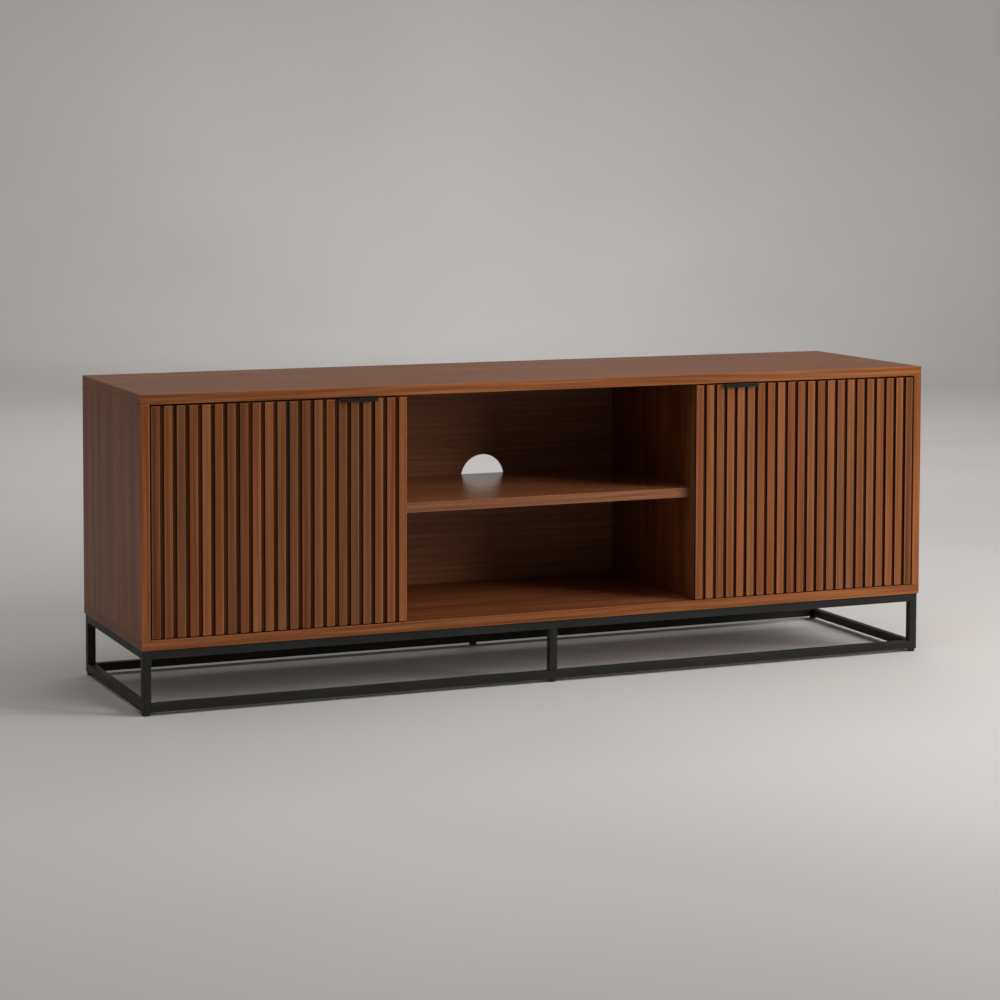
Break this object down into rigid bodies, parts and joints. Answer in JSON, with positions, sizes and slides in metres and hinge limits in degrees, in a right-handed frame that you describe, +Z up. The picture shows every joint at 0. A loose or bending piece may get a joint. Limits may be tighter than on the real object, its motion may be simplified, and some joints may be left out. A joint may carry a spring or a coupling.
{
  "type": "tv stand with doors",
  "caption": "Low walnut-finish media cabinet with an open shelved centre bay, a slatted door on each side and a black square-tube steel base.",
  "frame": {"origin": "middle of the bounding box in plan, on the floor", "axes": "+X along the length to the right seen from the front, +Y to the back, +Z up"},
  "size_m": [1.6, 0.423, 0.574],
  "materials": {
    "walnut_board": "satin walnut finish",
    "walnut_slats": "satin walnut slats",
    "walnut_back": "matt dark walnut finish",
    "black_steel": "satin black powder coat",
    "black_handle": "satin black coat",
    "plain_steel": "zinc plated",
    "black_plastic": "matt",
    "dark_steel": "black oxide",
    "nylon": "black"
  },
  "bodies": {
    "cabinet": {"leg_front_left": "black_steel", "leg_front_middle": "black_steel", "leg_front_right": "black_steel", "leg_back_left": "black_steel", "leg_back_middle": "black_steel", "leg_back_right": "black_steel", "upper_rail_left": "black_steel", "upper_rail_right": "black_steel", "lower_rail_left": "black_steel", "lower_rail_right": "black_steel", "upper_rail_front": "black_steel", "upper_rail_back": "black_steel", "lower_rail_front_left": "black_steel", "lower_rail_front_right": "black_steel", "lower_rail_back_left": "black_steel", "lower_rail_back_right": "black_steel", "cross_rail_middle": "black_steel", "foot_front_left": "black_plastic", "foot_front_middle": "black_plastic", "foot_front_right": "black_plastic", "foot_back_left": "black_plastic", "foot_back_middle": "black_plastic", "foot_back_right": "black_plastic", "top_panel": "walnut_board", "bottom_panel": "walnut_board", "side_panel_left": "walnut_board", "side_panel_right": "walnut_board", "partition_left": "walnut_board", "partition_right": "walnut_board", "shelf_center": "walnut_board", "shelf_left": "walnut_board", "shelf_right": "walnut_board", "back_panel": "walnut_back", "shelf_pin_left_outer_front": "plain_steel", "shelf_pin_left_outer_back": "plain_steel", "shelf_pin_left_inner_front": "plain_steel", "shelf_pin_left_inner_back": "plain_steel", "shelf_pin_right_outer_front": "plain_steel", "shelf_pin_right_outer_back": "plain_steel", "shelf_pin_right_inner_front": "plain_steel", "shelf_pin_right_inner_back": "plain_steel", "pivot_bush_left_top": "nylon", "pivot_bush_left_bottom": "nylon", "pivot_bush_right_top": "nylon", "pivot_bush_right_bottom": "nylon", "magnet_catch_left": "black_plastic", "magnet_catch_right": "black_plastic"},
    "left_door": {"door_slats_left": "walnut_slats", "door_board_left": "walnut_back", "handle_left": "black_handle", "pivot_plate_left_top": "dark_steel", "pivot_plate_left_bottom": "dark_steel", "strike_plate_left": "plain_steel"},
    "right_door": {"door_slats_right": "walnut_slats", "door_board_right": "walnut_back", "handle_right": "black_handle", "pivot_plate_right_top": "dark_steel", "pivot_plate_right_bottom": "dark_steel", "strike_plate_right": "plain_steel"}
  },
  "joints": [
    {"name": "left_door_hinge", "type": "hinge", "parent": "cabinet", "child": "left_door", "pos_m": [-0.747, -0.1905, 0.346], "axis": [0, 0, -1], "range_deg": [0, 110]},
    {"name": "right_door_hinge", "type": "hinge", "parent": "cabinet", "child": "right_door", "pos_m": [0.747, -0.1905, 0.346], "axis": [0, 0, 1], "range_deg": [0, 110]}
  ]
}
